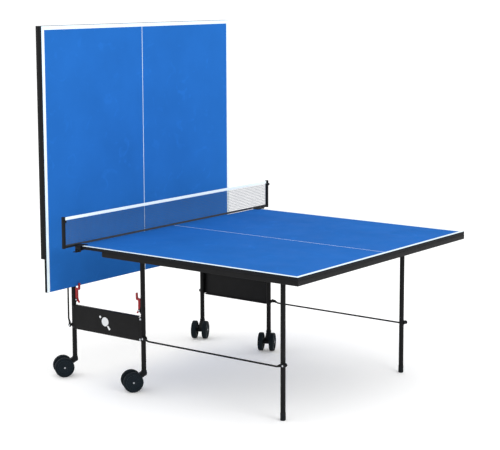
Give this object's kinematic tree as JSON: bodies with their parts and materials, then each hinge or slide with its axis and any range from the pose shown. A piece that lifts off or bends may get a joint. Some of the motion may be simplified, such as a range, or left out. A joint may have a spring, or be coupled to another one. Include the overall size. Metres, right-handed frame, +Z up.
{
  "type": "ping pong table",
  "caption": "Folding table-tennis table on a wheeled undercarriage, one half raised upright and one half flat with the net on its inner edge.",
  "frame": {"origin": "centre of the bounding box at floor level", "axes": "+Z up; +X along the table towards the flat half and its end legs; +Y across the table towards the far side"},
  "size_m": [1.7156, 1.716, 1.856],
  "materials": {
    "board_blue": "satin blue playing paint on chipboard, white lines",
    "frame_black": "semi-gloss black powder coat",
    "plastic_black": "matt moulded plastic",
    "latch_red": "glossy moulded plastic",
    "wheel_black": "matt",
    "axle_steel": "zinc plated",
    "net_white": "open mesh with a white top tape"
  },
  "bodies": {
    "undercarriage": {"left_arch": "frame_black", "right_arch": "frame_black", "side_panel_near": "frame_black", "side_panel_far": "frame_black", "latch_bracket_left_near": "frame_black", "latch_bracket_left_far": "frame_black", "latch_bracket_right_near": "frame_black", "latch_bracket_right_far": "frame_black"},
    "left_half": {"left_board": "board_blue", "left_apron": "frame_black", "left_pivot_strap_near": "frame_black", "left_pivot_strap_far": "frame_black", "left_leg_strap_near": "frame_black", "left_leg_strap_far": "frame_black"},
    "left_end_legs": {"left_leg_frame": "frame_black", "left_foot_near": "plastic_black", "left_foot_far": "plastic_black"},
    "left_stay_rods": {"left_stay_rod_near": "frame_black", "left_stay_rod_far": "frame_black"},
    "right_half": {"right_board": "board_blue", "right_apron": "frame_black", "right_pivot_strap_near": "frame_black", "right_pivot_strap_far": "frame_black", "right_leg_strap_near": "frame_black", "right_leg_strap_far": "frame_black", "net": "net_white", "net_post_near": "plastic_black", "net_post_far": "plastic_black"},
    "right_end_legs": {"right_leg_frame": "frame_black", "right_foot_near": "plastic_black", "right_foot_far": "plastic_black"},
    "right_stay_rods": {"right_stay_rod_near": "frame_black", "right_stay_rod_far": "frame_black"},
    "clip_jaw_near": {"net_clip_jaw_near": "plastic_black"},
    "clip_jaw_far": {"net_clip_jaw_far": "plastic_black"},
    "latch_left_near": {"latch_left_near": "latch_red"},
    "caster_left_near": {"caster_fork_left_near": "plastic_black", "caster_axle_left_near": "axle_steel"},
    "wheel_left_near_a": {"caster_wheel_left_near_a": "wheel_black"},
    "wheel_left_near_b": {"caster_wheel_left_near_b": "wheel_black"},
    "latch_left_far": {"latch_left_far": "latch_red"},
    "caster_left_far": {"caster_fork_left_far": "plastic_black", "caster_axle_left_far": "axle_steel"},
    "wheel_left_far_a": {"caster_wheel_left_far_a": "wheel_black"},
    "wheel_left_far_b": {"caster_wheel_left_far_b": "wheel_black"},
    "latch_right_near": {"latch_right_near": "latch_red"},
    "caster_right_near": {"caster_fork_right_near": "plastic_black", "caster_axle_right_near": "axle_steel"},
    "wheel_right_near_a": {"caster_wheel_right_near_a": "wheel_black"},
    "wheel_right_near_b": {"caster_wheel_right_near_b": "wheel_black"},
    "latch_right_far": {"latch_right_far": "latch_red"},
    "caster_right_far": {"caster_fork_right_far": "plastic_black", "caster_axle_right_far": "axle_steel"},
    "wheel_right_far_a": {"caster_wheel_right_far_a": "wheel_black"},
    "wheel_right_far_b": {"caster_wheel_right_far_b": "wheel_black"}
  },
  "joints": [
    {"name": "left_fold", "type": "hinge", "parent": "undercarriage", "child": "left_half", "pos_m": [-0.75615, 0, 0.73], "axis": [0, -1, 0], "range_deg": [0, 90]},
    {"name": "left_legs_swing", "type": "hinge", "parent": "left_half", "child": "left_end_legs", "pos_m": [-0.75615, 0, 1.611], "axis": [0, -1, 0], "range_deg": [-90, 0]},
    {"name": "left_stay_swing", "type": "hinge", "parent": "undercarriage", "child": "left_stay_rods", "pos_m": [-0.77015, 0, 0.273], "axis": [0, -1, 0], "range_deg": [0, 90]},
    {"name": "right_fold", "type": "hinge", "parent": "undercarriage", "child": "right_half", "pos_m": [-0.26815, 0, 0.73], "axis": [0, -1, 0], "range_deg": [0, 90], "deforming": ["net"]},
    {"name": "right_legs_swing", "type": "hinge", "parent": "right_half", "child": "right_end_legs", "pos_m": [0.61285, 0, 0.73], "axis": [0, -1, 0], "range_deg": [-90, 0]},
    {"name": "right_stay_swing", "type": "hinge", "parent": "undercarriage", "child": "right_stay_rods", "pos_m": [-0.25415, 0, 0.273], "axis": [0, -1, 0], "range_deg": [0, 90]},
    {"name": "clip_jaw_near_open", "type": "hinge", "parent": "right_half", "child": "clip_jaw_near", "pos_m": [-0.49215, -0.7695, 0.735], "axis": [-1, 0, 0], "range_deg": [0, 25], "stiffness_Nm_per_rad": 0.6},
    {"name": "clip_jaw_far_open", "type": "hinge", "parent": "right_half", "child": "clip_jaw_far", "pos_m": [-0.49215, 0.7695, 0.735], "axis": [1, 0, 0], "range_deg": [0, 25], "stiffness_Nm_per_rad": 0.6},
    {"name": "latch_left_near_press", "type": "hinge", "parent": "undercarriage", "child": "latch_left_near", "pos_m": [-0.73315, -0.538, 0.413], "axis": [0, 1, 0], "range_deg": [0, 35], "stiffness_Nm_per_rad": 0.4},
    {"name": "caster_left_near_swivel", "type": "hinge", "parent": "undercarriage", "child": "caster_left_near", "pos_m": [-0.75615, -0.538, 0.096], "axis": [0, 0, 1], "continuous": true},
    {"name": "wheel_left_near_a_spin", "type": "hinge", "parent": "caster_left_near", "child": "wheel_left_near_a", "pos_m": [-0.81902, -0.56826, 0.052], "axis": [0.7986, -0.6018, 0], "continuous": true},
    {"name": "wheel_left_near_b_spin", "type": "hinge", "parent": "caster_left_near", "child": "wheel_left_near_b", "pos_m": [-0.76791, -0.60677, 0.052], "axis": [0.7986, -0.6018, 0], "continuous": true},
    {"name": "latch_left_far_press", "type": "hinge", "parent": "undercarriage", "child": "latch_left_far", "pos_m": [-0.73315, 0.538, 0.413], "axis": [0, 1, 0], "range_deg": [0, 35], "stiffness_Nm_per_rad": 0.4},
    {"name": "caster_left_far_swivel", "type": "hinge", "parent": "undercarriage", "child": "caster_left_far", "pos_m": [-0.75615, 0.538, 0.096], "axis": [0, 0, 1], "continuous": true},
    {"name": "wheel_left_far_a_spin", "type": "hinge", "parent": "caster_left_far", "child": "wheel_left_far_a", "pos_m": [-0.75773, 0.46825, 0.052], "axis": [0.8988, 0.4384, 0], "continuous": true},
    {"name": "wheel_left_far_b_spin", "type": "hinge", "parent": "caster_left_far", "child": "wheel_left_far_b", "pos_m": [-0.70021, 0.4963, 0.052], "axis": [0.8988, 0.4384, 0], "continuous": true},
    {"name": "latch_right_near_press", "type": "hinge", "parent": "undercarriage", "child": "latch_right_near", "pos_m": [-0.29115, -0.538, 0.413], "axis": [0, -1, 0], "range_deg": [0, 35], "stiffness_Nm_per_rad": 0.4},
    {"name": "caster_right_near_swivel", "type": "hinge", "parent": "undercarriage", "child": "caster_right_near", "pos_m": [-0.26815, -0.538, 0.096], "axis": [0, 0, 1], "continuous": true},
    {"name": "wheel_right_near_a_spin", "type": "hinge", "parent": "caster_right_near", "child": "wheel_right_near_a", "pos_m": [-0.33102, -0.56826, 0.052], "axis": [0.7986, -0.6018, 0], "continuous": true},
    {"name": "wheel_right_near_b_spin", "type": "hinge", "parent": "caster_right_near", "child": "wheel_right_near_b", "pos_m": [-0.27991, -0.60677, 0.052], "axis": [0.7986, -0.6018, 0], "continuous": true},
    {"name": "latch_right_far_press", "type": "hinge", "parent": "undercarriage", "child": "latch_right_far", "pos_m": [-0.29115, 0.538, 0.413], "axis": [0, -1, 0], "range_deg": [0, 35], "stiffness_Nm_per_rad": 0.4},
    {"name": "caster_right_far_swivel", "type": "hinge", "parent": "undercarriage", "child": "caster_right_far", "pos_m": [-0.26815, 0.538, 0.096], "axis": [0, 0, 1], "continuous": true},
    {"name": "wheel_right_far_a_spin", "type": "hinge", "parent": "caster_right_far", "child": "wheel_right_far_a", "pos_m": [-0.26973, 0.46825, 0.052], "axis": [0.8988, 0.4384, 0], "continuous": true},
    {"name": "wheel_right_far_b_spin", "type": "hinge", "parent": "caster_right_far", "child": "wheel_right_far_b", "pos_m": [-0.21221, 0.4963, 0.052], "axis": [0.8988, 0.4384, 0], "continuous": true}
  ],
  "couplings": [
    {"joint": "left_legs_swing", "follows": "left_fold", "ratio": -1},
    {"joint": "left_stay_swing", "follows": "left_fold", "ratio": 1},
    {"joint": "right_legs_swing", "follows": "right_fold", "ratio": -1},
    {"joint": "right_stay_swing", "follows": "right_fold", "ratio": 1}
  ]
}
